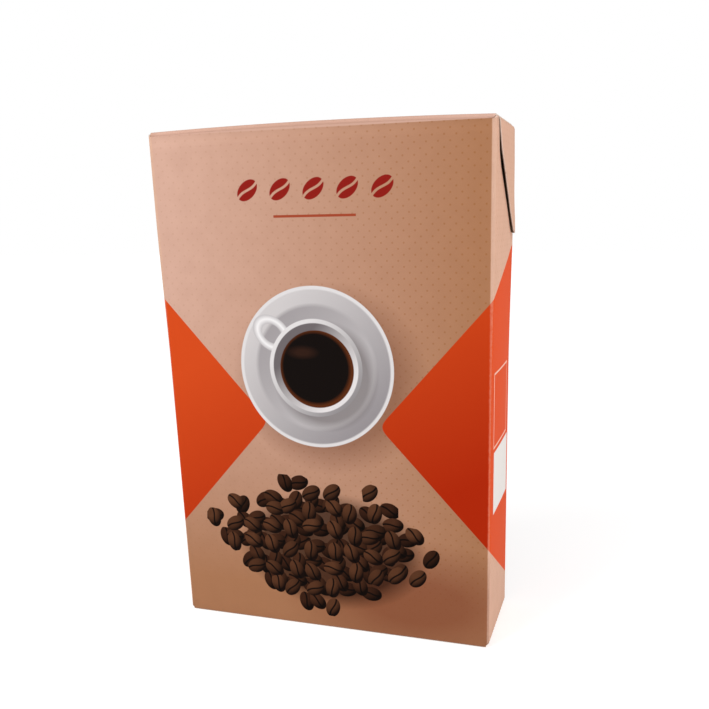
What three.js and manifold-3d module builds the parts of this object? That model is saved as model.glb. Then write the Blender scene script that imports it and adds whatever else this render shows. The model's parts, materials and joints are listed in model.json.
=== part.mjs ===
// A flip-top carton of cone paper coffee filters, standing upright on its glued bottom.
// Millimetres, +Z up. The front panel faces -Y, and the origin is the middle of the carton's underside.
// The carton is one folded sheet of board. A cut down both sides frees its lid, which swings on a
// crease across the back. The filters are pressed flat and stand on edge inside, wide mouth to the left.
import * as THREE from "three";
import { mergeVertices } from "three/addons/utils/BufferGeometryUtils.js";
import { RoundedBoxGeometry } from "three/addons/geometries/RoundedBoxGeometry.js";
import Module from "manifold-3d";

// Carton
const CARTON_WIDTH = 130;
const CARTON_DEPTH = 41;
const CARTON_HEIGHT = 196;
const BOARD = 0.5; // thickness of the folding boxboard
const FOLD_RADIUS = 1.2; // outside of every fold
const FLAP_INSET = 0.6; // from a side panel's face in to the cut end of an outer flap
const BOTTOM_FLAP_SHORT = 1.5; // the outer bottom flap stops this far before the back
const DUST_FLAP_LENGTH = 30; // the small flaps folded in from the side panels
const SEAM_FLAP_WIDTH = 14; // glue flap inside the left panel, along the back corner

// Lid
const HINGE_DROP = 39.7; // from the top down to the crease across the back
const SLIT_SETBACK = 4.6; // from the front face back to the cut, at the top
const SLIT_LEAN = 2; // the cut runs this much further back over its upright stretch
const SLIT_UPRIGHT = 12; // height of the upright stretch
const SLIT_BEND = 5; // length of cut that each side of its bend takes up
const CUT_GAP = 0.6; // clearance across the cut
const CREASE_GAP = 0.3; // clearance at the crease across the back
const WING_FLARE = 0.7; // how far the lid's side wings stand out at their front edges
const FRONT_DROP = 2; // the front panel's raw edge lies this far below the top
const TUCK_DEPTH = 15; // the lid's front flap, folded down inside the front panel
const TUCK_GAP = 0.35; // between that flap and the front panel
const TUCK_SIDE_GAP = 1; // between that flap and the side panels
const TUCK_CORNER = 5; // radius of its lower corners
const EDGE_GAP = 0.4; // between the lid's folded front edge and the raw edge below it

// Filters, pressed flat. They fill the carton's inside but for the named gaps.
const FILTER_FOOT = 62; // along the narrow crimped edge
const MOUTH_RISE = 6; // the mouth's edge bows out this far
const FILTER_THICKNESS = 0.4;
const CRIMP_WIDTH = 5; // the rolled seam along the foot and the lower side
const CRIMP_THICKNESS = 0.6;
const FILTER_SIDE_GAP = 1; // from the left panel to the mouth
const FILTER_END_GAP = 4; // from the foot to the right panel
const FILTER_FLOOR_GAP = 0.2; // from the bottom flaps to the lowest corner
const HEAD_ROOM = 30.3; // from the highest corner up to the lid's top
const LOOSE_FILTERS = 6;
const LOOSE_GAP = 0.6; // between one loose filter and the next
const LOOSE_SHIFT = 1; // how unevenly the loose ones stand

// The rest of the pack, pressed into one block
const FRONT_ROOM = 2.5; // from the foremost loose filter to the front panel
const STACK_LEAVES = 30; // ridges left by the filters' edges
const LEAF_INSET = 0.5; // depth of those ridges
const STACK_BACK_GAP = 0.3;

// Roundness and construction
const FOLD_SEGMENTS = 3;
const CURVE_SEGMENTS = 8;
const LAP = 0.05; // glued or joined solids share this much, so that they make one body
const CLEAR = 5; // how far a cutting solid reaches past what it cuts

const HALF_WIDTH = CARTON_WIDTH / 2;
const HALF_DEPTH = CARTON_DEPTH / 2;
const HINGE_HEIGHT = CARTON_HEIGHT - HINGE_DROP;
const INNER_HALF_WIDTH = HALF_WIDTH - BOARD;
const INNER_HALF_DEPTH = HALF_DEPTH - BOARD;
const INNER_FLOOR = 3 * BOARD;
const FILTER_LENGTH = 2 * INNER_HALF_WIDTH - FILTER_SIDE_GAP - FILTER_END_GAP;
const FILTER_MOUTH = CARTON_HEIGHT - INNER_FLOOR - FILTER_FLOOR_GAP - HEAD_ROOM;
const LOOSE_DEPTH = LOOSE_FILTERS * (CRIMP_THICKNESS + LOOSE_GAP);
const STACK_DEPTH = 2 * INNER_HALF_DEPTH - STACK_BACK_GAP - LOOSE_DEPTH - FRONT_ROOM;
const STACK_FRONT = -INNER_HALF_DEPTH + FRONT_ROOM + LOOSE_DEPTH;
const BOARD_COLOUR = 0xb98064;
const LID_COLOUR = 0xc4937b;
const PAPER_COLOUR = 0xc39b6b;

const wasm = await Module();
wasm.setup();

// One closed solid from a geometry, with its shared corners merged.
function solidOf(geometry) {
  const bare = geometry.clone();
  bare.deleteAttribute("normal");
  bare.deleteAttribute("uv");
  const merged = mergeVertices(bare, 1e-4);
  return new wasm.Manifold(
    new wasm.Mesh({
      numProp: 3,
      vertProperties: new Float32Array(merged.attributes.position.array),
      triVerts: new Uint32Array(merged.index.array),
    }),
  );
}

function geometryOf(solid) {
  const mesh = solid.getMesh();
  const geometry = new THREE.BufferGeometry();
  geometry.setAttribute("position", new THREE.BufferAttribute(new Float32Array(mesh.vertProperties), 3));
  geometry.setIndex(new THREE.BufferAttribute(new Uint32Array(mesh.triVerts), 1));
  geometry.computeVertexNormals();
  return geometry;
}

const AXES = {
  // an outline in (y, z), drawn along X
  x: new THREE.Matrix4().makeBasis(
    new THREE.Vector3(0, 1, 0),
    new THREE.Vector3(0, 0, 1),
    new THREE.Vector3(1, 0, 0),
  ),
  // an outline in (x, z), drawn along Y, from its high end down to its low one
  y: new THREE.Matrix4().makeBasis(
    new THREE.Vector3(1, 0, 0),
    new THREE.Vector3(0, 0, 1),
    new THREE.Vector3(0, -1, 0),
  ),
};

// The outline drawn along the axis from one coordinate to a higher one.
function drawn(outline, axis, from, to) {
  const geometry = new THREE.ExtrudeGeometry(outline, {
    depth: to - from,
    bevelEnabled: false,
    curveSegments: CURVE_SEGMENTS,
  });
  const start = axis === "y" ? -to : from;
  geometry.translate(0, 0, start);
  geometry.applyMatrix4(AXES[axis]);
  return solidOf(geometry);
}

// A plain block between two opposite corners.
function block(low, high) {
  const geometry = new THREE.BoxGeometry(high[0] - low[0], high[1] - low[1], high[2] - low[2]);
  geometry.translate((low[0] + high[0]) / 2, (low[1] + high[1]) / 2, (low[2] + high[2]) / 2);
  return solidOf(geometry);
}

function roundedBlock(width, depth, low, high, radius) {
  const geometry = new RoundedBoxGeometry(width, depth, high - low, FOLD_SEGMENTS, radius);
  geometry.translate(0, 0, (low + high) / 2);
  return solidOf(geometry);
}

// The sheet folded round all six sides, before its outer flaps, with the glue flap inside.
function foldedWalls() {
  const low = BOARD;
  const high = CARTON_HEIGHT - BOARD;
  const outside = roundedBlock(CARTON_WIDTH, CARTON_DEPTH, low, high, FOLD_RADIUS);
  const inside = roundedBlock(
    CARTON_WIDTH - 2 * BOARD,
    CARTON_DEPTH - 2 * BOARD,
    low + BOARD,
    high - BOARD,
    FOLD_RADIUS - BOARD,
  );
  const seamFlap = block(
    [-INNER_HALF_WIDTH - LAP, INNER_HALF_DEPTH - SEAM_FLAP_WIDTH, low + BOARD - LAP],
    [-INNER_HALF_WIDTH + BOARD, INNER_HALF_DEPTH + LAP, high - BOARD + LAP],
  );
  return outside.subtract(inside).add(seamFlap);
}

// Everything behind and above the cut, set back from it by a clearance. In side view the cut
// starts at the top, runs down a short way, bends, and goes slanting back to the crease.
function lidSpace(clearance, creaseHeight) {
  const top = new THREE.Vector2(-HALF_DEPTH + SLIT_SETBACK, CARTON_HEIGHT);
  const bend = new THREE.Vector2(top.x + SLIT_LEAN, CARTON_HEIGHT - SLIT_UPRIGHT);
  const end = new THREE.Vector2(HALF_DEPTH - FOLD_RADIUS, HINGE_HEIGHT);
  const down = bend.clone().sub(top).normalize();
  const back = end.clone().sub(bend).normalize();
  const downNormal = new THREE.Vector2(-down.y, down.x);
  const backNormal = new THREE.Vector2(-back.y, back.x);
  const mitre = downNormal.clone().add(backNormal).divideScalar(1 + downNormal.dot(backNormal));
  const start = top.addScaledVector(downNormal, clearance).addScaledVector(down, -CLEAR);
  const corner = bend.clone().addScaledVector(mitre, clearance);
  const before = corner.clone().addScaledVector(down, -SLIT_BEND);
  const after = corner.clone().addScaledVector(back, SLIT_BEND);
  const slope = back.y / back.x;
  const creaseDepth = corner.x + (creaseHeight - corner.y) / slope;
  const outline = new THREE.Shape();
  outline.moveTo(start.x, start.y);
  outline.lineTo(before.x, before.y);
  outline.quadraticCurveTo(corner.x, corner.y, after.x, after.y);
  outline.lineTo(creaseDepth, creaseHeight);
  outline.lineTo(HALF_DEPTH + CLEAR, creaseHeight);
  outline.lineTo(HALF_DEPTH + CLEAR, start.y);
  return drawn(outline, "x", -HALF_WIDTH - CLEAR, HALF_WIDTH + CLEAR);
}

// A strip of board in side view: it follows the path with round folds, and has the board's thickness.
// The path is a list of right-angled corners on the outer face, and the board lies to its right.
function foldedStrip(path, fromX, toX) {
  const inset = FOLD_RADIUS - BOARD;
  const outer = roundedPath(path, FOLD_RADIUS);
  const inner = roundedPath(offsetPath(path), inset).reverse();
  const outline = new THREE.Shape(outer.concat(inner));
  return drawn(outline, "x", fromX, toX);
}

function unitStep(from, to) {
  return new THREE.Vector2(Math.sign(to.x - from.x), Math.sign(to.y - from.y));
}

// The same path one board's thickness to its right.
function offsetPath(path) {
  return path.map((point, i) => {
    const before = unitStep(path[Math.max(i - 1, 0)], path[Math.max(i, 1)]);
    const after = unitStep(path[Math.min(i, path.length - 2)], path[Math.min(i + 1, path.length - 1)]);
    const right = new THREE.Vector2(before.y, -before.x);
    if (!before.equals(after)) {
      right.add(new THREE.Vector2(after.y, -after.x));
    }
    return point.clone().addScaledVector(right, BOARD);
  });
}

// The path with each inner corner rounded to an arc.
function roundedPath(path, radius) {
  const points = [path[0]];
  for (let i = 1; i < path.length - 1; i += 1) {
    const before = unitStep(path[i - 1], path[i]);
    const after = unitStep(path[i], path[i + 1]);
    const centre = path[i].clone().addScaledVector(before, -radius).addScaledVector(after, radius);
    for (let step = 0; step <= FOLD_SEGMENTS; step += 1) {
      const angle = (step / FOLD_SEGMENTS) * (Math.PI / 2);
      const point = centre.clone();
      point.addScaledVector(after, -radius * Math.cos(angle));
      point.addScaledVector(before, radius * Math.sin(angle));
      points.push(point);
    }
  }
  points.push(path[path.length - 1]);
  return points;
}

function cartonBody() {
  // The outer bottom flap hangs from the front panel, with its fold at the front.
  const bottomFlap = foldedStrip(
    [
      new THREE.Vector2(HALF_DEPTH - BOTTOM_FLAP_SHORT, 0),
      new THREE.Vector2(-HALF_DEPTH, 0),
      new THREE.Vector2(-HALF_DEPTH, FOLD_RADIUS + 2 * BOARD),
    ],
    -HALF_WIDTH + FLAP_INSET,
    HALF_WIDTH - FLAP_INSET,
  );
  let body = foldedWalls().add(bottomFlap);
  for (const side of [-1, 1]) {
    const end = side * (HALF_WIDTH - DUST_FLAP_LENGTH);
    const root = side * (INNER_HALF_WIDTH + LAP);
    const dustFlap = block(
      [Math.min(end, root), -INNER_HALF_DEPTH - LAP, 2 * BOARD - LAP],
      [Math.max(end, root), INNER_HALF_DEPTH + LAP, INNER_FLOOR],
    );
    body = body.add(dustFlap);
  }
  const aboveFront = block(
    [-HALF_WIDTH - CLEAR, -HALF_DEPTH - CLEAR, CARTON_HEIGHT - FRONT_DROP],
    [HALF_WIDTH + CLEAR, HALF_DEPTH + CLEAR, CARTON_HEIGHT + CLEAR],
  );
  return body.subtract(lidSpace(0, HINGE_HEIGHT - CREASE_GAP / 2)).subtract(aboveFront);
}

// The lid's back panel and side wings, with the dust flaps folded in under its top.
function lidWalls() {
  const middle = HALF_WIDTH - DUST_FLAP_LENGTH;
  const betweenDustFlaps = block(
    [-middle, -HALF_DEPTH - CLEAR, CARTON_HEIGHT - 2 * BOARD - LAP],
    [middle, INNER_HALF_DEPTH, CARTON_HEIGHT],
  );
  const walls = foldedWalls()
    .intersect(lidSpace(CUT_GAP, HINGE_HEIGHT + CREASE_GAP / 2))
    .subtract(betweenDustFlaps);
  // The wings stand out a little more towards their front edges.
  return walls.warp((point) => {
    const forward = (HALF_DEPTH - point[1]) / (CARTON_DEPTH - SLIT_SETBACK);
    point[0] += (point[0] / HALF_WIDTH) * WING_FLARE * forward;
  });
}

// The lid's outer top flap comes over from the back panel, and its front edge is folded down.
function lidTop() {
  const front = -INNER_HALF_DEPTH + TUCK_GAP;
  const lipFoot = CARTON_HEIGHT - FRONT_DROP + EDGE_GAP;
  const tuckHalfWidth = INNER_HALF_WIDTH - TUCK_SIDE_GAP;
  const tuckFoot = CARTON_HEIGHT - TUCK_DEPTH;
  const cover = foldedStrip(
    [
      new THREE.Vector2(front, lipFoot),
      new THREE.Vector2(front, CARTON_HEIGHT),
      new THREE.Vector2(HALF_DEPTH, CARTON_HEIGHT),
      new THREE.Vector2(HALF_DEPTH, CARTON_HEIGHT - FOLD_RADIUS - 2 * BOARD),
    ],
    -HALF_WIDTH + FLAP_INSET,
    HALF_WIDTH - FLAP_INSET,
  );
  const outline = new THREE.Shape();
  outline.moveTo(-tuckHalfWidth, lipFoot + LAP);
  outline.lineTo(-tuckHalfWidth, tuckFoot + TUCK_CORNER);
  outline.quadraticCurveTo(-tuckHalfWidth, tuckFoot, -tuckHalfWidth + TUCK_CORNER, tuckFoot);
  outline.lineTo(tuckHalfWidth - TUCK_CORNER, tuckFoot);
  outline.quadraticCurveTo(tuckHalfWidth, tuckFoot, tuckHalfWidth, tuckFoot + TUCK_CORNER);
  outline.lineTo(tuckHalfWidth, lipFoot + LAP);
  return cover.add(drawn(outline, "y", front, front + BOARD));
}

function lid() {
  return lidWalls().add(lidTop());
}

// A flat filter seen from the front: bowed mouth at the left, straight sides, narrow foot at the right.
function filterOutline(inset) {
  const tip = -INNER_HALF_WIDTH + FILTER_SIDE_GAP + inset;
  const mouth = tip + MOUTH_RISE;
  const foot = tip + FILTER_LENGTH - 2 * inset;
  const middle = INNER_FLOOR + FILTER_FLOOR_GAP + FILTER_MOUTH / 2;
  const halfMouth = FILTER_MOUTH / 2 - inset;
  const halfFoot = FILTER_FOOT / 2 - inset;
  const outline = new THREE.Shape();
  outline.moveTo(mouth, middle + halfMouth);
  outline.quadraticCurveTo(tip - MOUTH_RISE, middle, mouth, middle - halfMouth);
  outline.lineTo(foot, middle - halfFoot);
  outline.lineTo(foot, middle + halfFoot);
  return outline;
}

// The rolled seam runs along the lower side and up the foot.
function crimpOutline() {
  const edge = filterOutline(0).getPoints(CURVE_SEGMENTS);
  const foot = Math.max(...edge.map((point) => point.x));
  const footPoints = edge.filter((point) => point.x === foot);
  const footLow = Math.min(...footPoints.map((point) => point.y));
  const footHigh = Math.max(...footPoints.map((point) => point.y));
  const low = edge.reduce((lowest, point) => (point.y < lowest.y ? point : lowest));
  const slope = (footLow - low.y) / (foot - low.x);
  const rise = CRIMP_WIDTH * Math.hypot(1, slope);
  const innerFoot = foot - CRIMP_WIDTH;
  const outline = new THREE.Shape();
  outline.moveTo(low.x, low.y);
  outline.lineTo(foot, footLow);
  outline.lineTo(foot, footHigh);
  outline.lineTo(innerFoot, footHigh + slope * CRIMP_WIDTH);
  outline.lineTo(innerFoot, footLow - slope * CRIMP_WIDTH + rise);
  outline.lineTo(low.x + CRIMP_WIDTH, low.y + rise + slope * CRIMP_WIDTH);
  return outline;
}

// The pack behind the loose filters: leaf by leaf, every second one a little smaller.
function filterStack() {
  const leafDepth = STACK_DEPTH / STACK_LEAVES;
  let stack = null;
  for (let leaf = 0; leaf < STACK_LEAVES; leaf += 1) {
    const front = STACK_FRONT + leaf * leafDepth;
    const back = front + leafDepth + (leaf < STACK_LEAVES - 1 ? LAP : 0);
    const slice = drawn(filterOutline((leaf % 2) * LEAF_INSET), "y", front, back);
    stack = stack === null ? slice : stack.add(slice);
  }
  return stack;
}

// A single filter by its place in front of the pack, counted from the pack.
function looseFilter(place) {
  const back = STACK_FRONT - LOOSE_GAP - place * (CRIMP_THICKNESS + LOOSE_GAP);
  const paper = drawn(filterOutline(0), "y", back - FILTER_THICKNESS, back);
  const crimp = drawn(crimpOutline(), "y", back - CRIMP_THICKNESS, back - LAP);
  const lift = LOOSE_SHIFT * ((place * 2) % 3) * 0.5;
  const across = LOOSE_SHIFT * ((place * 3 + 1) % 4) * 0.4;
  return paper.add(crimp).translate([across, 0, lift]);
}

function part(name, solid, colour, roughness) {
  const material = new THREE.MeshStandardMaterial({ color: colour, roughness, metalness: 0 });
  const mesh = new THREE.Mesh(geometryOf(solid), material);
  mesh.name = name;
  return mesh;
}

const group = new THREE.Group();
group.add(part("carton_body", cartonBody(), BOARD_COLOUR, 0.55));
group.add(part("lid", lid(), LID_COLOUR, 0.55));
group.add(part("filter_stack", filterStack(), PAPER_COLOUR, 0.95));
for (let place = 0; place < LOOSE_FILTERS; place += 1) {
  group.add(part(`filter_${place + 1}`, looseFilter(place), PAPER_COLOUR, 0.95));
}

export default group;
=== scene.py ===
"""A flip-top carton of cone paper coffee filters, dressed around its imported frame.

Lengths in this script are millimetres, and become metres where a mesh, lamp or camera is made. The front
panel faces -Y and the carton stands on z = 0. The board is made of sheets: each panel, fold and flap is a
grid of points, the grids of one sheet are joined along their shared edges, and the board gets its thickness
from there inwards.
"""

import json
import math

import bpy
import numpy as np
from mathutils import Matrix, Quaternion, Vector

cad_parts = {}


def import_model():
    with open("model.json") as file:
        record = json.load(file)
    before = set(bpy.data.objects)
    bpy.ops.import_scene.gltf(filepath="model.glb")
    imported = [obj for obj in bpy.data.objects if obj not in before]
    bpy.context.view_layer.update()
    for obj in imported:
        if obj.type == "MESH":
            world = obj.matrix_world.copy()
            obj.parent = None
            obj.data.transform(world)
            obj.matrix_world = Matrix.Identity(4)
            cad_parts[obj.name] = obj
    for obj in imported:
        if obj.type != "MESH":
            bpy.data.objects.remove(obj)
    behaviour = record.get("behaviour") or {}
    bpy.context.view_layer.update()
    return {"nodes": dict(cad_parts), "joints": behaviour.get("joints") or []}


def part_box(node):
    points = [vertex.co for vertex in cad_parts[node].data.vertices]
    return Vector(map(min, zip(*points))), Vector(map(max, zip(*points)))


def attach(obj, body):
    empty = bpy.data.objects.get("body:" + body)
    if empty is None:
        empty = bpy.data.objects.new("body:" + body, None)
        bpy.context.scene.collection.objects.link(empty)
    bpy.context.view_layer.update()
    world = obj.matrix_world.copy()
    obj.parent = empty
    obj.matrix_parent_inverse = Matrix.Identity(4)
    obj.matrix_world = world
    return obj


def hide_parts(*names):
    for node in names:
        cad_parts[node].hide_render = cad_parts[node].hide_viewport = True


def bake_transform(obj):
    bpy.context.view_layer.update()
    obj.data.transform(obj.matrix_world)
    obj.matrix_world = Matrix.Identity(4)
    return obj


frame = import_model()

MM = 0.001
QUARTER = math.pi / 2

# The carton's outer faces and its crease, as in the frame
body_low, body_high = (np.array(corner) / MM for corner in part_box("carton_body"))
HALF_WIDTH, HALF_DEPTH = (body_high - body_low)[:2] / 2
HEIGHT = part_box("lid")[1][2] / MM
HINGE = frame["joints"][0]["pos_m"][2] / MM

# Board: its thickness, the outer radius of its folds, and the gap between lid and walls at the crease
BOARD = 0.5
FOLD = 1.2
FOLD_STEPS = 6
CREASE_GAP = 0.3
CREASE_LOW = HINGE - CREASE_GAP / 2
CREASE_HIGH = HINGE + CREASE_GAP / 2

# Heights of the walls' raw edges under the top, and of their feet, which lie one over another
FRONT_TOP = HEIGHT - 1.7
SIDE_TOP = HEIGHT - 0.7
FOOT_FRONT = FOLD
FOOT_BACK = FOLD + BOARD
FOOT_SIDE = FOLD + 2 * BOARD

# The cut in side view: where it starts, its steep stretch, its bend, its level end and the gap across it
CUT_START = -HALF_DEPTH + 4.6
CUT_UPRIGHT = 12.0
CUT_LEAN = 2.0
CUT_BEND = CUT_START + CUT_LEAN
CUT_ROUND = 4.0
CUT_END = 3.5
CUT_END_LIFT = 0.3
CUT_END_ROUND = 1.0
CUT_GAP = 0.35

# Flaps
TUCK_GAP = 0.35
TUCK_DEPTH = 15.0
TUCK_CORNER = 5.0
DUST_FLAP = 30.0
SEAM_FLAP = 14.0
FRONT_FLAP_SHORT = 1.5
BACK_FLAP_SHORT = 4.0

# How far the panels bow out, and the height over which the carton widens to its mouth
FRONT_BOW = 0.6
BACK_BOW = 0.5
SIDE_BOW = 0.35
TOP_BOW = 1.0
WAVE = 0.08
FACE_REACH = 1.5
MOUTH_SWELL = 0.85
MOUTH_FROM, MOUTH_TO = 105, 165

# How far the lid's wings stand out, and the side panels give way under the cut
FLARE = 1.15
FLARE_AT_TOP = 0.35
FLARE_FALL = 16.0
CORNER_BULGE = 0.6
CORNER_REACH = 10.0
CUT_DENT = 0.3
DENT_REACH = 10.0

# One pressed filter's thickness
LEAF = 0.41

# Camera, from the photograph's six corners of the carton
IMAGE = 709
FOCAL_PIXELS = 798.1
CAMERA_PLACE = (111.97, -296.99, 164.75)
CAMERA_AZIMUTH = 17.095
CAMERA_ELEVATION = 14.381
CAMERA_ROLL = -1.231
CAMERA_SHIFT = (-0.0501, 0.0896)
SENSOR = 36.0

# Lamps: name, place, target, width and watts
LAMPS = (
    ("key", (-390, -470, 520), (-20, 0, 110), 450, 3.4),
    ("right", (700, -160, 330), (0, 0, 100), 400, 3.0),
)
FLOOR_REACH = 3000
FLOOR_DROP = 0.05


def smooth_step(value, low, high):
    """0 below low and 1 above high. Between them 3 t t - 2 t t t, where t rises evenly from 0 to 1."""
    t = np.clip((value - low) / (high - low), 0, 1)
    return t * t * (3 - 2 * t)


def arched(t):
    """1 at t = 0, less the square of t, down to 0 at t = 1 and t = -1."""
    return np.clip(1 - t**2, 0, 1)


def soft_maximum(a, b, blend):
    """Half of a + b + the root of (a - b) squared + blend squared: the larger one, with a rounded change."""
    return (a + b + np.sqrt((a - b) ** 2 + blend**2)) / 2


def cut_height(y):
    """The cut in side view: a steep line, then a slanting one, and a short level one to the crease, each
    blended into the next by a soft maximum."""
    steep = HEIGHT - (y - CUT_START) * CUT_UPRIGHT / CUT_LEAN
    slope = (HEIGHT - CUT_UPRIGHT - HINGE) / (HALF_DEPTH - FOLD - CUT_END - CUT_BEND)
    slant = HEIGHT - CUT_UPRIGHT - (y - CUT_BEND) * slope
    return soft_maximum(soft_maximum(steep, slant, CUT_ROUND), HINGE + CUT_END_LIFT, CUT_END_ROUND)


def bowed(points):
    """Each face's points pushed outwards by its bow, times an arch across it and an arch up it, with a slight
    wave of sines. The whole carton is a little wider at its mouth. The back stays flat beside the crease."""
    x, y, z = points[..., 0], points[..., 1], points[..., 2]
    across = arched(x / HALF_WIDTH)
    along = arched(y / HALF_DEPTH)
    up = arched((z - HEIGHT / 2) / (HEIGHT / 2))
    wave = WAVE * np.sin(x / 17 + 0.6) * np.sin(z / 23 + 1.1)
    side_wave = WAVE * np.sin(z / 13)
    front = smooth_step(-y, HALF_DEPTH - FACE_REACH, HALF_DEPTH)
    back = smooth_step(y, HALF_DEPTH - FACE_REACH, HALF_DEPTH) * smooth_step(np.abs(z - HINGE), 1, 16)
    side = smooth_step(np.abs(x), HALF_WIDTH - FACE_REACH, HALF_WIDTH)
    out = points.copy()
    out[..., 1] -= (FRONT_BOW + wave) * across * up * front
    out[..., 1] += (BACK_BOW + wave) * across * up * back
    out[..., 0] += np.sign(x) * (SIDE_BOW + side_wave) * along * up * side
    out[..., 0] += MOUTH_SWELL * x / HALF_WIDTH * smooth_step(z, MOUTH_FROM, MOUTH_TO)
    out[..., 2] += TOP_BOW * across * smooth_step(z, HEIGHT - 14, HEIGHT - 2)
    return out


def flared(points):
    """The lid's wings stand out along their cut edges, as a power of the way forward from the back and less
    towards the top, and beside the crease, as a bell curve of the distance from it."""
    x, y, z = points[..., 0], points[..., 1], points[..., 2]
    side = smooth_step(np.abs(x), HALF_WIDTH - 3, HALF_WIDTH)
    forward = np.clip((HALF_DEPTH - y) / (HALF_DEPTH - CUT_START), 0, 1) ** 0.4
    rising = 1 - (1 - FLARE_AT_TOP) * smooth_step(z, HEIGHT - FLARE_FALL, HEIGHT)
    reach = np.hypot(y - HALF_DEPTH, z - HINGE) / CORNER_REACH
    out = points.copy()
    out[..., 0] += np.sign(x) * side * (FLARE * forward * rising + CORNER_BULGE * np.exp(-(reach**2)))
    return out


def dented(points):
    """The carton's side panels give way a little below the cut, as a bell curve of the distance under it."""
    x, y, z = points[..., 0], points[..., 1], points[..., 2]
    side = smooth_step(np.abs(x), HALF_WIDTH - 0.1, HALF_WIDTH)
    under = np.exp(-(((cut_height(y) - z) / DENT_REACH) ** 2))
    along = smooth_step(y, CUT_START - 1, CUT_START + 8) * smooth_step(HALF_DEPTH - y, 0, 5)
    out = points.copy()
    out[..., 0] -= np.sign(x) * side * under * along * CUT_DENT
    return out


def line_of(x, y, z):
    """Points with the given coordinates, each an array or a number."""
    x, y, z = np.broadcast_arrays(*(np.asarray(value, float) for value in (x, y, z)))
    return np.stack([x, y, z], -1)


def grid(rows, outward):
    """One sheet of points (rows, columns, 3), and the way its middle faces."""
    return np.asarray(rows, float), np.asarray(outward, float)


def ruled(low, high, count):
    """Rows of points from one edge to the opposite one: low times 1 - t, plus high times t."""
    t = np.linspace(0, 1, count)[:, None, None]
    return low[None] * (1 - t) + high[None] * t


def turned(edge, inward, down):
    """A quarter fold: from an edge, the fold's radius times 1 - cosine inwards, and times sine down."""
    angle = np.linspace(0, QUARTER, FOLD_STEPS + 1)[:, None, None]
    inward, down = np.asarray(inward, float), np.asarray(down, float)
    return edge[None] + inward * FOLD * (1 - np.cos(angle)) + down * FOLD * np.sin(angle)


def in_scene(name, data):
    """An object made of the given data, in the scene."""
    thing = bpy.data.objects.new(name, data)
    bpy.context.scene.collection.objects.link(thing)
    return thing


def sheet_mesh(name, grids, shape):
    """The grids as one mesh: quads between neighbours, turned outwards, shared edge points merged, then
    shaped."""
    points, quads, count = [], [], 0
    for rows, outward in grids:
        high, wide = rows.shape[:2]
        index = np.arange(high * wide).reshape(high, wide) + count
        quad = np.stack([index[:-1, :-1], index[:-1, 1:], index[1:, 1:], index[1:, :-1]], -1)
        i, j = (high - 1) // 2, (wide - 1) // 2
        normal = np.cross(rows[i, j + 1] - rows[i, j], rows[i + 1, j] - rows[i, j])
        if normal @ outward < 0:
            quad = quad[..., ::-1]
        points.append(rows.reshape(-1, 3))
        quads.append(quad.reshape(-1, 4))
        count += high * wide
    points, quads = np.concatenate(points), np.concatenate(quads)
    _, first, merged = np.unique(np.round(points, 3), axis=0, return_index=True, return_inverse=True)
    quads = merged.reshape(-1)[quads]
    mesh = bpy.data.meshes.new(name)
    mesh.from_pydata((shape(points[first]) * MM).tolist(), [], quads.tolist())
    mesh.validate()
    mesh.polygons.foreach_set("use_smooth", np.ones(len(mesh.polygons), bool))
    return in_scene(name, mesh)


def thicken(piece, materials):
    """The board's thickness, grown inwards, with the inner face and the raw edges in their own materials."""
    for material in materials:
        piece.data.materials.append(material)
    solid = piece.modifiers.new("board", "SOLIDIFY")
    solid.thickness = BOARD * MM
    solid.offset = -1
    solid.use_even_offset = True
    solid.material_offset = 1
    solid.material_offset_rim = 2


# Nodes


def colour(text):
    """An sRGB hex colour as linear red, green, blue and alpha."""
    parts = [int(text[i : i + 2], 16) / 255 for i in (0, 2, 4)]
    linear = [p / 12.92 if p <= 0.04045 else ((p + 0.055) / 1.055) ** 2.4 for p in parts]
    return (*linear, 1.0)


def add(tree, kind, inputs=None, **settings):
    """Adds one node with its settings, and gives its inputs numbers, hex colours or links."""
    node = tree.nodes.new(kind)
    for key, value in settings.items():
        setattr(node, key, value)
    for key, value in (inputs or {}).items():
        value = getattr(value, "socket", value)
        if isinstance(value, bpy.types.NodeSocket):
            tree.links.new(value, node.inputs[key])
        else:
            node.inputs[key].default_value = colour(value) if isinstance(value, str) else value
    return node


def number(tree, kind, inputs, **settings):
    """The first output of a new node, as a number that varies over the surface."""
    return Field(tree, add(tree, kind, inputs, **settings).outputs[0])


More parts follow.
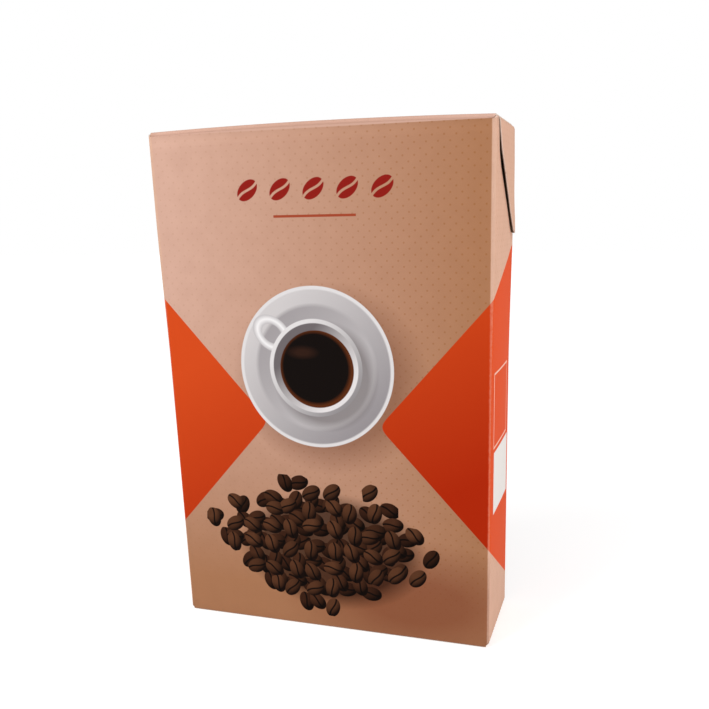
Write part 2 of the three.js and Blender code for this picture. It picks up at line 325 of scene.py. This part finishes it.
class Field:
    """A number that varies over the surface, so that a pattern's formula is written as for a plain number."""

    def __init__(self, tree, socket):
        self.tree = tree
        self.socket = socket

    def __add__(self, other):
        return number(self.tree, "ShaderNodeMath", {0: self, 1: other}, operation="ADD")

    def __sub__(self, other):
        return number(self.tree, "ShaderNodeMath", {0: self, 1: other}, operation="SUBTRACT")

    def __rsub__(self, other):
        return number(self.tree, "ShaderNodeMath", {0: other, 1: self}, operation="SUBTRACT")

    def __mul__(self, other):
        return number(self.tree, "ShaderNodeMath", {0: self, 1: other}, operation="MULTIPLY")

    def __truediv__(self, other):
        return number(self.tree, "ShaderNodeMath", {0: self, 1: other}, operation="DIVIDE")

    def __abs__(self):
        return number(self.tree, "ShaderNodeMath", {0: self}, operation="ABSOLUTE")

    def __mod__(self, pitch):
        """How far it is past the nearest multiple of the pitch, from minus half a pitch to half a pitch."""
        inputs = {0: self, 1: pitch / 2, 2: -pitch / 2}
        return number(self.tree, "ShaderNodeMath", inputs, operation="WRAP")

    def larger(self, other, blend=0.0):
        """The larger of the two, changing over softly where they differ by less than the blend."""
        inputs = {0: self, 1: other, 2: blend}
        return number(self.tree, "ShaderNodeMath", inputs, operation="SMOOTH_MAX")

    def above(self, edge, softness):
        """0 under the edge and 1 over it, with an even change as wide as the softness."""
        inputs = {0: self, 1: 1 / softness, 2: 0.5 - edge / softness}
        return number(self.tree, "ShaderNodeMath", inputs, operation="MULTIPLY_ADD", use_clamp=True)

    def below(self, edge, softness):
        """1 under the edge and 0 over it, with an even change as wide as the softness."""
        inputs = {0: self, 1: -1 / softness, 2: edge / softness + 0.5}
        return number(self.tree, "ShaderNodeMath", inputs, operation="MULTIPLY_ADD", use_clamp=True)

    def held(self):
        """The same, kept between 0 and 1."""
        return number(self.tree, "ShaderNodeMath", {0: self, 1: 0.0}, operation="ADD", use_clamp=True)


def length_of(a, b):
    """The distance of a point from the origin: the root of a a + b b."""
    return number(a.tree, "ShaderNodeMath", {0: a * a + b * b}, operation="SQRT")


def inked(tree, ground, *layers):
    """A ground with layers of ink over it, in their order. Each is a colour, and how much it covers."""
    for ink, cover in layers:
        inputs = {0: cover, 6: ground, 7: ink}
        ground = add(tree, "ShaderNodeMix", inputs, data_type="RGBA").outputs[2]
    return ground


def speckle(tree, here, size, detail):
    """Fine noise, whose lumps are as wide as the size."""
    inputs = {"Vector": here, "Scale": 1 / (size * MM), "Detail": detail}
    return number(tree, "ShaderNodeTexNoise", inputs)


def new_material(name):
    """A material without nodes, and its node tree."""
    material = bpy.data.materials.new(name)
    material.use_nodes = True
    material.node_tree.nodes.clear()
    return material, material.node_tree


def places(tree):
    """The surface point, and its three coordinates in millimetres: across, back and up."""
    here = add(tree, "ShaderNodeTexCoord").outputs["Object"]
    parts = add(tree, "ShaderNodeSeparateXYZ", {0: here})
    return here, *(Field(tree, parts.outputs[i]) * (1 / MM) for i in range(3))


def fibres(tree, here, size, strength, stretch=(1, 1, 1), height=0.03):
    """The lumps of matted fibres and the bump they make. Pulp fibres are some hundredths of a millimetre
    thick, too fine to show where a pixel covers 0.4 mm, so they are drawn about as coarse as one pixel."""
    scaled = add(tree, "ShaderNodeMapping", {0: here, 3: stretch}).outputs[0]
    lumps = speckle(tree, scaled, size, 3.0)
    inputs = {"Strength": strength, "Distance": height * MM, "Height": lumps}
    return lumps, add(tree, "ShaderNodeBump", inputs).outputs[0]


def finish_surface(tree, base, roughness, bump, specular):
    """Ends a material's nodes with its colour, roughness, bump and the strength of its reflection."""
    inputs = {"Base Color": base, "Roughness": roughness, "Normal": bump, "Specular IOR Level": specular}
    shader = add(tree, "ShaderNodeBsdfPrincipled", inputs)
    add(tree, "ShaderNodeOutputMaterial", {0: shader.outputs[0]})


# Print on the board. Places are measured from the middle of the carton's foot.

BEAN_SPACING = 8.6
BEAN_WIDTH = 0.7 * BEAN_SPACING
BEAN_SCATTER = 0.42
BEAN_SEAM = "080403"
BEAN_LAYERS = (
    ((3.0, 1.0), ("0c0503", "3a2014")),
    ((41.5, 7.5), ("100704", "482a1b")),
    ((17.0, 88.0), ("140906", "5a3724")),
)
HEAP_MIDDLE = (-5, 37)
HEAP_HALF = (36, 20)
HEAP_LOOSE = 0.45

CUP_MIDDLE = (-2.0, 108.5)
SAUCER_RADIUS = 31.0
SAUCER_RIM = 29.7
SAUCER_WELL = 24.0
CUP_RADIUS = 18.8
CUP_INSIDE = 17.2
COFFEE_RADIUS = 14.9
COFFEE_RIM = 13.8
HANDLE_REACH = 21.5
HANDLE_RADIUS = 4.8
HANDLE_WIDTH = 1.5

ROW_HEIGHT = 174.0
ROW_PITCH = 13.0
ROW_COUNT = 5
ROW_TURN = 0.7
ROW_BEAN = (9.4, 6.2)
LINE_HEIGHT = 164.5
LINE_HALF = (16.0, 0.45)

DOT_PITCH = 4.18 / math.sqrt(2)
DOT_RADIUS = 0.34
LABEL_MIDDLE = (1.2, 65.3)
LABEL_HALF = (15.5, 12.2)
BOX_MIDDLE = (-1.0, 93.5)
BOX_HALF = 14.0

EDGE = 0.25


def bean(along, across, length, width):
    """A coffee bean from above: 0 at its middle and 1 at its outline, which is an ellipse, with the distance
    from its seam, which is a sine wave."""
    rim = length_of(along / (length / 2), across / (width / 2))
    wave = number(along.tree, "ShaderNodeMath", {0: along * (5 / length)}, operation="SINE")
    return rim, abs(across + wave * (width * 0.09))


def scattered_beans(tree, x, z, ground, offset, tones):
    """Beans from a pattern of cells: each lies at its cell's point, turned by its cell's random colour. Those
    whose middles lie in the heap's ellipse are shown, and a few outside it. Each bean is paler towards the
    upper left, and darker towards its rim."""
    inputs = {0: (x + offset[0]) / BEAN_SPACING, 1: (z + offset[1]) / BEAN_SPACING}
    inputs = {"Vector": number(tree, "ShaderNodeCombineXYZ", inputs), "Scale": 1.0}
    inputs["Randomness"] = BEAN_SCATTER
    cells = add(tree, "ShaderNodeTexVoronoi", inputs, voronoi_dimensions="2D")
    middle = add(tree, "ShaderNodeSeparateXYZ", {0: cells.outputs["Position"]})
    middle_x = Field(tree, middle.outputs[0]) * BEAN_SPACING - offset[0]
    middle_z = Field(tree, middle.outputs[1]) * BEAN_SPACING - offset[1]
    random = add(tree, "ShaderNodeSeparateColor", {0: cells.outputs["Color"]})
    turn, tone, chance = (Field(tree, random.outputs[i]) for i in range(3))
    turn = turn * (2 * math.pi)
    cosine = number(tree, "ShaderNodeMath", {0: turn}, operation="COSINE")
    sine = number(tree, "ShaderNodeMath", {0: turn}, operation="SINE")
    dx, dz = x - middle_x, z - middle_z
    along = dx * cosine + dz * sine
    across = dz * cosine - dx * sine
    rim, seam = bean(along, across, BEAN_SPACING, BEAN_WIDTH)
    heap_x = (middle_x - HEAP_MIDDLE[0]) / HEAP_HALF[0]
    heap_z = (middle_z - HEAP_MIDDLE[1]) / HEAP_HALF[1]
    reach = length_of(heap_x, heap_z) - chance * chance * HEAP_LOOSE
    lit = (dx * -0.13 + dz * 0.16 + (rim * rim) * -0.45 + 0.75) * (tone * 0.5 + 0.75)
    dark, light = tones
    skin = inked(tree, dark, (light, lit.held()), (BEAN_SEAM, seam.below(0.32, 0.3)))
    return inked(tree, ground, (skin, rim.below(1.0, 0.05) * reach.below(1.0, 0.001)))


def printed_picture(tree, x, z, ground):
    """A plain cup of black coffee seen from above, on a saucer, over a heap of roasted beans. The saucer, cup
    and coffee are discs about one middle, each lit from the upper left, and the handle is a ring."""
    shade = length_of((x - 1) / 37, (z - 34) / 23).below(0.95, 0.3)
    picture = inked(tree, ground, ("2a140c", shade * 0.85))
    for offset, tones in BEAN_LAYERS:
        picture = scattered_beans(tree, x, z, picture, offset, tones)
    dx, dz = x - CUP_MIDDLE[0], z - CUP_MIDDLE[1]
    out = length_of(dx, dz)
    lit = (dz - dx) * 0.012
    drop = length_of(dx - 3.6, dz + 3.2).below(19.5, 4.5)
    well = inked(tree, "9d9799", ("c6c1c2", (0.5 - lit).held()))
    saucer = inked(
        tree,
        "938d90",
        ("cfcaca", (lit + 0.55).held()),
        (well, out.below(SAUCER_WELL, 1.6)),
        ("e0dcdc", out.above(SAUCER_RIM, 0.6)),
        ("5e5453", drop * 0.6),
    )
    handle_along = (dx * -0.80) + (dz * 0.60)
    handle_across = (dx * 0.60) + (dz * 0.80)
    handle = abs(length_of((handle_along - HANDLE_REACH) / 1.35, handle_across) - HANDLE_RADIUS)
    handle_tone = inked(tree, "a8a2a4", ("f4f1f1", (1.0 - handle * 0.5).held()))
    cup = inked(tree, "868183", ("e2dede", (lit * 1.6 + 0.6).held()))
    inside = inked(tree, "6f686a", ("e6e1e1", (0.45 - lit * 2.4).held()))
    glint = length_of((dx + 5) / 6, (dz - 6) / 2.4).below(0.8, 0.8)
    rim = out.above(COFFEE_RIM, 1.5)
    coffee = inked(tree, "120c0a", ("5a2c14", rim), ("3d241a", glint * 0.6))
    return inked(
        tree,
        picture,
        (saucer, out.below(SAUCER_RADIUS, EDGE)),
        (handle_tone, handle.below(HANDLE_WIDTH, EDGE)),
        (cup, out.below(CUP_RADIUS, EDGE)),
        (inside, out.below(CUP_INSIDE, 0.3)),
        (coffee, length_of(dx - 0.5, dz + 0.4).below(COFFEE_RADIUS, EDGE)),
    )


def ornament(tree, x, z, ground):
    """A row of five small dark-red beans with a thin line under them."""
    near = x % ROW_PITCH
    dz = z - ROW_HEIGHT
    along = near * math.cos(ROW_TURN) + dz * math.sin(ROW_TURN)
    across = dz * math.cos(ROW_TURN) - near * math.sin(ROW_TURN)
    rim, seam = bean(along, across, *ROW_BEAN)
    within = abs(x).below(ROW_PITCH * ROW_COUNT / 2, 0.1)
    beans = rim.below(1.0, 0.06) * seam.above(0.45, 0.15) * within
    line = abs(x).below(LINE_HALF[0], 0.2) * abs(z - LINE_HEIGHT).below(LINE_HALF[1], 0.15)
    return inked(tree, ground, ("8e1d16", beans), ("a2472f", line))


def kraft_ground(tree, here, x, y, z, side, front):
    """Kraft-toned ink, paler towards the upper left of the front and browner towards the lower right, partly
    a print gradient and partly painted light and shade as from a lamp at the upper left, with a square
    lattice of dots turned by 45 degrees, 4.18 mm apart along a row, as measured in the photograph.
    Soft shades lie under the picture, and the folded edge above the front panel is paler, most of all to the
    right: a painted highlight where its rounded fold catches the light from above."""
    # painted light and shade, partly a print gradient: paler to the upper left, browner to the lower right
    print_tone_and_light_fall = (x * 0.0083 + 0.5).larger(1.15 - z * 0.009, 0.3)
    mottle = speckle(tree, here, 7, 4.0).above(0.62, 0.5)
    across = x + (y - x) * side
    p = ((across + z) * math.sqrt(0.5)) % DOT_PITCH
    q = ((across - z) * math.sqrt(0.5)) % DOT_PITCH
    dots = length_of(p, q).below(DOT_RADIUS, 0.22) * z.above(16.0, 40.0)
    strength = (x * 0.0045 + 0.3).larger(0.14) * (1.0 - side * 0.6)
    corner_shade = length_of((x - 36) / 44, (z - 16) / 20).below(0.9, 0.9) * front
    cup_shade = length_of((x - 3) / 36, (z - 104) / 34).below(0.93, 0.35) * front
    # painted highlight along the folded edge above the front panel, stronger to the right
    lip_highlight = y.below(-HALF_DEPTH + 2.2, 0.3) * z.above(FRONT_TOP + 0.2, 0.25)
    return inked(
        tree,
        "d4aa97",
        ("ad7a58", print_tone_and_light_fall.held()),
        ("d5a991", side),
        ("8f5f44", mottle * 0.12),
        ("9c6335", dots * strength),
        ("7c3a24", corner_shade * 0.6),
        ("7c4f3a", cup_shade * 0.6),
        ("e0b8a8", lip_highlight * (x * 0.005 + 0.5)),
    )


def orange_fields(x, y, z):
    """Where the orange lies. A field points inwards from each edge of the front, and widens round the side to
    the back. Its upper and lower edges are straight lines on each panel, joined by a soft maximum."""
    inset = HALF_WIDTH - abs(x)
    back = y + HALF_DEPTH
    over_top = z - (back * 0.43 - inset * 1.115 + 134.3)
    under_foot = (inset * 1.085 - back * 0.65 + 40.6) - z
    return over_top.larger(under_foot, 9.0).below(0.0, EDGE)


def side_marks(y, z, right):
    """Where a bare pale label and an empty outlined box lie on the right side panel."""
    label_y = abs(y - LABEL_MIDDLE[0]).below(LABEL_HALF[0], 0.3)
    label_z = abs(z - LABEL_MIDDLE[1]).below(LABEL_HALF[1], 0.3)
    box = abs(y - BOX_MIDDLE[0]).larger(abs(z - BOX_MIDDLE[1]))
    outline = abs(box - BOX_HALF).below(0.35, 0.15)
    return label_y * label_z * right, outline * right * 0.8


def worn_folds(tree, here, x, y, z):
    """Where the ink is cracked and rubbed off, along the upright folds and the foot. The cracks are drawn
    about 1 mm long: real ones are finer, and wouldn't show."""
    rub = speckle(tree, here, 1.1, 5.0)
    corner = abs(x).above(HALF_WIDTH - 0.85, 0.7) * abs(y).above(HALF_DEPTH - 0.85, 0.7)
    return (corner.larger(z.below(0.9, 0.9)) * 1.3 + rub * 1.6 - 1.35).held()


def printed_board():
    """Folding boxboard, offset printed in kraft tones and coated with a thin varnish: the sheet looks smooth
    and faintly fibrous, with hardly any shine and its ink worn pale along the folds."""
    material, tree = new_material("printed_folding_boxboard")
    here, x, y, z = places(tree)
    side = abs(x).above(HALF_WIDTH - 0.7, 0.3)
    front = y.below(-HALF_DEPTH + 0.8, 0.2)
    right = x.above(HALF_WIDTH - 0.7, 0.3)
    ground = kraft_ground(tree, here, x, y, z, side, front)
    # Orange ink, darker towards the bottom and the right of the front, partly a print gradient and partly
    # painted shade; even on the side panels
    orange = inked(tree, "b02808", ("d44b1c", (z * 0.0105 - x * 0.005 - 0.4).held()), ("d84a14", side))
    ground = inked(tree, ground, (orange, orange_fields(x, y, z)))
    picture = printed_picture(tree, x, z, ornament(tree, x, z, ground))
    label, outline = side_marks(y, z, right)
    worn = worn_folds(tree, here, x, y, z)
    surface = inked(
        tree,
        ground,
        (picture, front),
        ("e4dfda", label),
        ("f0cdbb", outline),
        ("e6c6b2", worn * 0.22),
    )
    grain, bump = fibres(tree, here, 0.45, 0.35, height=0.02)
    finish_surface(tree, surface, grain * 0.16 + 0.46, bump, specular=0.03)
    return material


def bare_board(name, tones, roughness):
    """Boxboard where it has no ink: the brown liner inside, pressed flat and left uncoated, or the pale pulp
    of an edge cut with a steel rule. Both look dull and fibrous, with small darker flecks."""
    material, tree = new_material(name)
    here, *_ = places(tree)
    grain, bump = fibres(tree, here, 0.5, 0.6, stretch=(1, 1, 0.35), height=0.04)
    fleck = speckle(tree, here, 1.8, 6.0).above(0.64, 0.12)
    base, pale, dark = tones
    surface = inked(tree, base, (pale, grain.above(0.5, 0.5)), (dark, fleck * 0.5))
    finish_surface(tree, surface, roughness, bump, specular=0.3)
    return material


def filter_paper(name, leaf=None):
    """Unbleached filter paper, creped as it is made: matt brown, with fine ridges across and darker fibres. A
    pressed pack of it also gets painted shade in the gaps between its leaves, which are one leaf's thickness
    apart."""
    material, tree = new_material(name)
    here, _, y, _ = places(tree)
    grain, bump = fibres(tree, here, 0.5, 0.8, stretch=(0.3, 1, 1), height=0.08)
    fleck = speckle(tree, here, 1.2, 6.0).above(0.66, 0.08)
    cloud = speckle(tree, here, 14, 3.0)
    surface = inked(
        tree,
        "b98f5e",
        ("d2ac7b", grain.above(0.5, 0.4)),
        ("a47b4d", cloud.above(0.55, 0.4) * 0.5),
        ("8b6238", fleck * 0.6),
    )
    if leaf:
        # painted shade: dark lines where shade falls in the gaps between the pressed leaves
        gap = abs((cloud * 1.2 + y) % leaf).below(leaf * 0.2, leaf * 0.25)
        surface = inked(tree, surface, ("6b4a2a", gap * 0.7))
    finish_surface(tree, surface, 0.92, bump, specular=0.2)
    return material


# Pieces

# Places across the front and back panels, and down a wall
FRONT_X = np.linspace(-HALF_WIDTH + FOLD, HALF_WIDTH - FOLD, 41)
WALL_ROWS = 41
WING_ROWS = 15


def corner_arc(centre, start_angle):
    """An upright fold in plan: a quarter circle, by cosine and sine of an angle that grows evenly."""
    angle = start_angle + np.linspace(0, QUARTER, FOLD_STEPS + 1)
    return centre[0] + FOLD * np.cos(angle), centre[1] + FOLD * np.sin(angle)


def side_columns(first):
    """Depths of the columns across a side panel, close together where the cut is steep."""
    after_bend = CUT_BEND + 1.5
    before_cut = np.linspace(-HALF_DEPTH + FOLD, first, 4)[:-1]
    steep = np.linspace(first, after_bend, 12)[:-1]
    slanting = np.linspace(after_bend, HALF_DEPTH - FOLD, 30)
    return np.concatenate([before_cut, steep, slanting])


def wall_columns():
    """The columns of the body's side panels, the first under the cut being where it is 2 mm down."""
    return side_columns(CUT_START + CUT_LEAN / CUT_UPRIGHT * 2)


def body_walls():
    """The four walls as one strip round the carton from the back left corner, each column from its foot to
    the raw edge above it: straight along the front, along the cut on the sides, at the crease on the back."""
    depths = wall_columns()
    raw = np.minimum(cut_height(depths), SIDE_TOP)
    raw[-1] = CREASE_LOW
    rise = np.linspace(FRONT_TOP, SIDE_TOP, FOLD_STEPS + 1)
    left, right = np.full(len(depths), -HALF_WIDTH), np.full(len(depths), HALF_WIDTH)
    front, back = np.full(len(FRONT_X), -HALF_DEPTH), np.full(len(FRONT_X), HALF_DEPTH)
    fold_x, fold_y = HALF_WIDTH - FOLD, HALF_DEPTH - FOLD
    sides = (
        (left, depths[::-1], raw[::-1], FOOT_SIDE, FOOT_SIDE),
        (*corner_arc((-fold_x, -fold_y), math.pi), rise[::-1], FOOT_SIDE, FOOT_FRONT),
        (FRONT_X, front, FRONT_TOP, FOOT_FRONT, FOOT_FRONT),
        (*corner_arc((fold_x, -fold_y), -QUARTER), rise, FOOT_FRONT, FOOT_SIDE),
        (right, depths, raw, FOOT_SIDE, FOOT_SIDE),
        (*corner_arc((fold_x, fold_y), 0.0), CREASE_LOW, FOOT_SIDE, FOOT_BACK),
        (FRONT_X[::-1], back, CREASE_LOW, FOOT_BACK, FOOT_BACK),
        (*corner_arc((-fold_x, fold_y), QUARTER), CREASE_LOW, FOOT_BACK, FOOT_SIDE),
    )
    parts = []
    for x, y, top, foot_start, foot_end in sides:
        top = np.broadcast_to(top, x.shape)
        foot = np.linspace(foot_start, foot_end, len(x))
        # every side but the first starts with the column that the one before it ended with
        parts.append(np.stack([x, y, foot, top], -1)[1 if parts else 0 :])
    columns = np.concatenate(parts)
    low = columns[:, [0, 1, 2]]
    high = columns[:, [0, 1, 3]]
    return [grid(ruled(low, high, WALL_ROWS), (0, -1, 0))]


def flap(edge, inward, down, length):
    """A flap: an edge of a panel folded over a quarter turn and carried on flat for its length."""
    inward, down = np.asarray(inward, float), np.asarray(down, float)
    fold = turned(edge, inward, down)
    flat = ruled(fold[-1], fold[-1] + inward * length, 8)
    return [grid(fold, down - inward), grid(flat, down)]


def bottom_flaps():
    """Front flap outermost, back flap over it, and a dust flap in from each side on top of those."""
    down = (0, 0, -1)
    full = 2 * HALF_DEPTH - FOLD
    flaps = flap(line_of(FRONT_X, -HALF_DEPTH, FOOT_FRONT), (0, 1, 0), down, full - FRONT_FLAP_SHORT)
    flaps += flap(line_of(FRONT_X, HALF_DEPTH, FOOT_BACK), (0, -1, 0), down, full - BACK_FLAP_SHORT)
    for side in (-1, 1):
        edge = line_of(side * HALF_WIDTH, wall_columns(), FOOT_SIDE)
        flaps += flap(edge, (-side, 0, 0), down, DUST_FLAP - FOLD)
    return flaps


def seam_flap(low, high):
    """The glue flap that lies inside the left panel along the back corner. Its two heights are numbers, or
    functions of the depth."""
    x = -HALF_WIDTH + BOARD + 0.02
    depths = np.linspace(HALF_DEPTH - BOARD - SEAM_FLAP, HALF_DEPTH - BOARD - 0.5, 16)
    low, high = (edge(depths) if callable(edge) else edge for edge in (low, high))
    return grid(ruled(line_of(x, depths, low), line_of(x, depths, high), 12), (-1, 0, 0))


def body_shape(points):
    """The body's points with its dents, then its bows."""
    return bowed(dented(points))


def carton_body(materials):
    """The board below the cut: walls, glued bottom and glue flap."""
    glued = seam_flap(FOOT_SIDE + 1, CREASE_LOW)
    piece = sheet_mesh("carton_walls", [*body_walls(), *bottom_flaps(), glued], body_shape)
    thicken(piece, materials)
    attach(piece, "carton")
    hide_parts("carton_body")


def lid_shape(points):
    """The lid's points with its flare, then its bows."""
    return bowed(flared(points))


def lid_strip():
    """Back panel, top and tucked front flap: one strip, narrower behind the front panel, its end's corners
    rounded by quarter circles."""
    t = FRONT_X / (HALF_WIDTH - FOLD)
    wide = HALF_WIDTH - FOLD
    lip_wide = HALF_WIDTH - 1.0
    tuck_wide = HALF_WIDTH - BOARD - 1.0
    front = -HALF_DEPTH + BOARD + TUCK_GAP
    tuck_top, tuck_end = HEIGHT - FOLD, HEIGHT - TUCK_DEPTH
    back_edge = line_of(t * wide, HALF_DEPTH, HEIGHT - FOLD)
    back_panel = ruled(line_of(t * wide, HALF_DEPTH, CREASE_HIGH), back_edge, 14)
    back_fold = turned(back_edge, (0, -1, 0), (0, 0, 1))[1:]
    top_end = line_of(t * lip_wide, front + FOLD, HEIGHT)
    top = ruled(back_fold[-1], top_end, 16)[1:]
    front_fold = turned(top_end, (0, 0, -1), (0, -1, 0))[1:]
    straight = np.linspace(tuck_top, tuck_end + TUCK_CORNER, 8)[1:]
    rounded = tuck_end + TUCK_CORNER * np.cos(np.linspace(0.1, 1, 9) * QUARTER)
    heights = np.concatenate([straight, rounded])
    into_corner = np.maximum(TUCK_CORNER - (heights - tuck_end), 0)
    narrow = TUCK_CORNER - np.sqrt(np.maximum(TUCK_CORNER**2 - into_corner**2, 0))
    ease = np.minimum(tuck_top - heights, 1.0)
    half = lip_wide + (tuck_wide - lip_wide) * ease - narrow
    tuck = line_of(t * half[:, None], front, heights[:, None])
    return [grid(np.concatenate([back_panel, back_fold, top, front_fold, tuck]), (0, 0, 1))]


def lid_wings():
    """Each wing from its cut edge up to its top fold, the corner fold beside it, and the dust flap."""
    top = HEIGHT - BOARD - FOLD
    first = CUT_START + CUT_GAP + CUT_LEAN / CUT_UPRIGHT * (BOARD + FOLD + 0.6)
    depths = side_columns(first)[3:]
    raw = np.minimum(cut_height(depths - CUT_GAP) + CUT_GAP, top - 0.1)
    raw[-1] = CREASE_HIGH
    corner_x, corner_y = corner_arc((HALF_WIDTH - FOLD, HALF_DEPTH - FOLD), 0.0)
    corner_top = np.linspace(top, HEIGHT - FOLD, FOLD_STEPS + 1)
    grids = []
    for side in (-1, 1):
        low = line_of(side * HALF_WIDTH, depths, raw)
        high = line_of(side * HALF_WIDTH, depths, top)
        grids.append(grid(ruled(low, high, WING_ROWS), (side, 0, 0)))
        corner_low = line_of(side * corner_x, corner_y, CREASE_HIGH)
        corner_high = line_of(side * corner_x, corner_y, corner_top)
        grids.append(grid(ruled(corner_low, corner_high, WING_ROWS), (side, 1, 0)))
        edge = line_of(side * HALF_WIDTH, depths[depths < HALF_DEPTH - FOLD - 0.9], top)
        grids += flap(edge, (-side, 0, 0), (0, 0, 1), DUST_FLAP - FOLD)
    return grids


def lid(materials):
    """The board above the cut: upper back, top, tuck, wings, dust flaps and glue flap."""
    glued = seam_flap(lambda y: cut_height(y - CUT_GAP) + CUT_GAP + 0.2, HEIGHT - FOLD - 1)
    piece = sheet_mesh("lid_board", [*lid_strip(), *lid_wings(), glued], lid_shape)
    thicken(piece, materials)
    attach(piece, "lid")
    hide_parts("lid")


def crease_strip(materials):
    """The creased board across the back, as it lies with the lid shut."""
    reach = 1.6
    low = line_of(FRONT_X, HALF_DEPTH + 0.04, HINGE - reach)
    high = line_of(FRONT_X, HALF_DEPTH + 0.04, HINGE + reach)
    piece = sheet_mesh("lid_crease", [grid(ruled(low, high, 13), (0, 1, 0))], bowed)
    piece.data.materials.append(materials[0])
    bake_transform(piece)


def filters():
    """The frame's own filters, in creped paper. The pressed pack also shows its leaves, through painted shade
    between them.
    """
    loose = filter_paper("unbleached_crepe_paper")
    pressed = filter_paper("pressed_crepe_paper", LEAF)
    for name, node in frame["nodes"].items():
        if name.startswith("filter"):
            node.data.materials.clear()
            node.data.materials.append(pressed if name == "filter_stack" else loose)


# Stage


def floor():
    """A wide pale floor. It also glows for the camera, more with the distance, so that it reads as white but
    keeps the carton's shadow."""
    reach = FLOOR_REACH
    corners = line_of([-reach, reach, reach, -reach], [-reach, -reach, reach, reach], -FLOOR_DROP)
    mesh = bpy.data.meshes.new("floor")
    mesh.from_pydata((corners * MM).tolist(), [], [(0, 1, 2, 3)])
    piece = in_scene("floor", mesh)
    material, tree = new_material("pale_floor")
    ray = add(tree, "ShaderNodeLightPath")
    seen = Field(tree, ray.outputs["Is Camera Ray"])
    seen = seen.larger(Field(tree, ray.outputs["Is Glossy Ray"]))
    _, x, y, _ = places(tree)
    far = length_of(x, y).above(900.0, 1600.0)
    diffuse = add(tree, "ShaderNodeBsdfDiffuse", {"Color": "e8e8e8"})
    glow = add(tree, "ShaderNodeEmission", {"Color": "ffffff", "Strength": seen * (far * 0.3 + 0.5)})
    both = add(tree, "ShaderNodeAddShader", {0: diffuse.outputs[0], 1: glow.outputs[0]})
    add(tree, "ShaderNodeOutputMaterial", {0: both.outputs[0]})
    mesh.materials.append(material)


def world():
    """Even pale light all round, which the camera sees as white."""
    sky = bpy.data.worlds.new("studio")
    bpy.context.scene.world = sky
    sky.use_nodes = True
    tree = sky.node_tree
    tree.nodes.clear()
    ray = add(tree, "ShaderNodeLightPath")
    seen = Field(tree, ray.outputs["Is Camera Ray"])
    light = add(tree, "ShaderNodeBackground", {"Color": "ffffff", "Strength": seen * 0.6 + 0.4})
    add(tree, "ShaderNodeOutputWorld", {0: light.outputs[0]})


def lamp(name, place, target, size, power):
    """A soft square lamp at a place, turned to a target."""
    light = bpy.data.lights.new(name, "AREA")
    light.size = size * MM
    light.energy = power
    thing = in_scene(name, light)
    thing.location = Vector(place) * MM
    thing.rotation_euler = (Vector(target) - Vector(place)).to_track_quat("-Z", "Y").to_euler()


def camera():
    """The photograph's camera, aimed by its azimuth and elevation and turned by its roll."""
    azimuth, elevation = math.radians(CAMERA_AZIMUTH), math.radians(CAMERA_ELEVATION)
    level = math.cos(elevation)
    back = Vector((math.sin(azimuth) * level, -math.cos(azimuth) * level, math.sin(elevation)))
    lens = bpy.data.cameras.new("camera")
    lens.sensor_width = SENSOR
    lens.lens = FOCAL_PIXELS * SENSOR / IMAGE
    lens.shift_x, lens.shift_y = CAMERA_SHIFT
    lens.clip_start = 0.01
    thing = in_scene("camera", lens)
    roll = Quaternion((0, 0, 1), math.radians(CAMERA_ROLL))
    turn = (-back).to_track_quat("-Z", "Y") @ roll
    thing.matrix_world = Matrix.Translation(Vector(CAMERA_PLACE) * MM) @ turn.to_matrix().to_4x4()
    bpy.context.scene.camera = thing


camera()
board = [
    printed_board(),
    bare_board("unprinted_board_liner", ("a98468", "bf9c7f", "7d5b43"), 0.85),
    bare_board("cut_board_pulp", ("d9bfae", "ead7ca", "b08b73"), 0.9),
]
carton_body(board)
lid(board)
crease_strip(board)
filters()
floor()
world()
for setting in LAMPS:
    lamp(*setting)
bpy.context.scene.view_settings.view_transform = "Standard"
